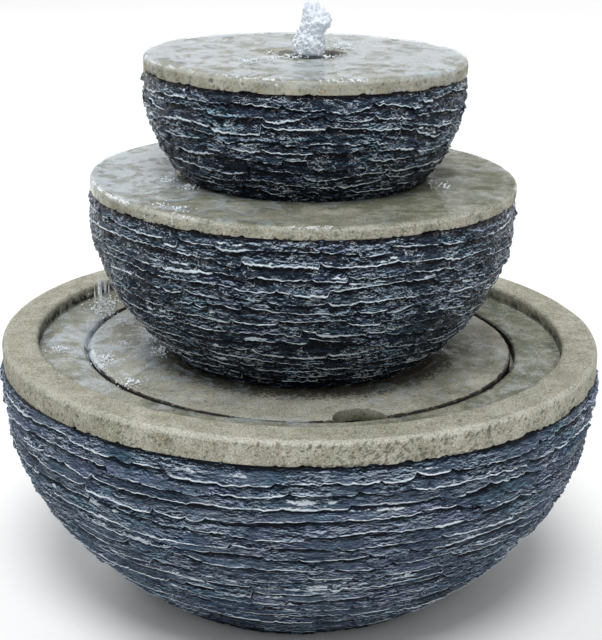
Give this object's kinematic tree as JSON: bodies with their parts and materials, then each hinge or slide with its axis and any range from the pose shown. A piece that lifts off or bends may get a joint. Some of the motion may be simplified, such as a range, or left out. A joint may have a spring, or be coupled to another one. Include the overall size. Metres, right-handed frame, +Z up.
{
  "type": "tabletop fountain",
  "caption": "Self-contained tabletop fountain: slate-faced bowls stacked on a water basin, each with a flat stone cap, a frothing jet at the top and a small pump hidden in the basin.",
  "frame": {"origin": "on the axis of the bowls, at the surface that the rubber feet stand on", "axes": "+Z up along the axis of the bowls; -Y is the front, with the finger notch in the deck lid; +Y points out of the cord exit at the back"},
  "size_m": [0.4068, 0.4066, 0.394],
  "materials": {
    "basin_slate": "split slate, nearly dry, pale on its broken edges",
    "upper_slate": "split slate, wet and glossy, pale on its broken edges",
    "cast_stone": "sandy cast stone with small pits, wet on its flat tops",
    "rubber": "matt moulded rubber",
    "nozzle_plastic": "wet black plastic",
    "water": "frothing clear water",
    "hose": "smoky flexible hose",
    "clip_steel": "stainless spring strip",
    "pump_plastic": "black moulded plastic with a fine grain",
    "shaft_ceramic": "polished ceramic",
    "magnet": "ground ferrite",
    "impeller_plastic": "natural moulded plastic",
    "sponge": "open filter foam",
    "slider_plastic": "grey moulded plastic"
  },
  "bodies": {
    "basin": {"basin_bowl": "basin_slate", "basin_rim": "cast_stone", "basin_feet": "rubber", "cord_grommet": "rubber", "riser_hose": "hose", "hose_clip": "clip_steel", "pump_housing": "pump_plastic", "pump_suction_feet": "rubber", "pump_cord_gland": "rubber", "impeller_chamber": "pump_plastic", "chamber_seal": "rubber", "rotor_shaft": "shaft_ceramic", "shaft_bush_front": "rubber", "shaft_bush_rear": "rubber"},
    "impeller": {"impeller": "impeller_plastic", "rotor_magnet": "magnet"},
    "intake_cover": {"pump_intake_cover": "pump_plastic", "filter_sponge": "sponge"},
    "flow_slider": {"flow_slider": "slider_plastic"},
    "deck": {"deck_lid": "cast_stone"},
    "middle_bowl": {"mid_shell": "upper_slate", "mid_cap": "cast_stone"},
    "top_bowl": {"top_shell": "upper_slate", "top_cap": "cast_stone", "jet_nozzle": "nozzle_plastic", "nozzle_washer": "rubber", "nozzle_nut": "nozzle_plastic", "water_jet": "water"}
  },
  "joints": [
    {"name": "impeller_spin", "type": "hinge", "parent": "basin", "child": "impeller", "pos_m": [0, 0, 0.038], "axis": [0, 1, 0], "continuous": true},
    {"name": "intake_cover_pull", "type": "slide", "parent": "basin", "child": "intake_cover", "axis": [0, -1, 0], "range_m": [0, 0.025]},
    {"name": "flow_slider_move", "type": "slide", "parent": "intake_cover", "child": "flow_slider", "axis": [1, 0, 0], "range_m": [-0.0125, 0]},
    {"name": "deck_lift", "type": "slide", "parent": "basin", "child": "deck", "axis": [0, 0, 1], "range_m": [0, 0.21]},
    {"name": "middle_bowl_lift", "type": "slide", "parent": "deck", "child": "middle_bowl", "axis": [0, 0, 1], "range_m": [0, 0.21]},
    {"name": "top_bowl_lift", "type": "slide", "parent": "middle_bowl", "child": "top_bowl", "axis": [0, 0, 1], "range_m": [0, 0.09]}
  ]
}
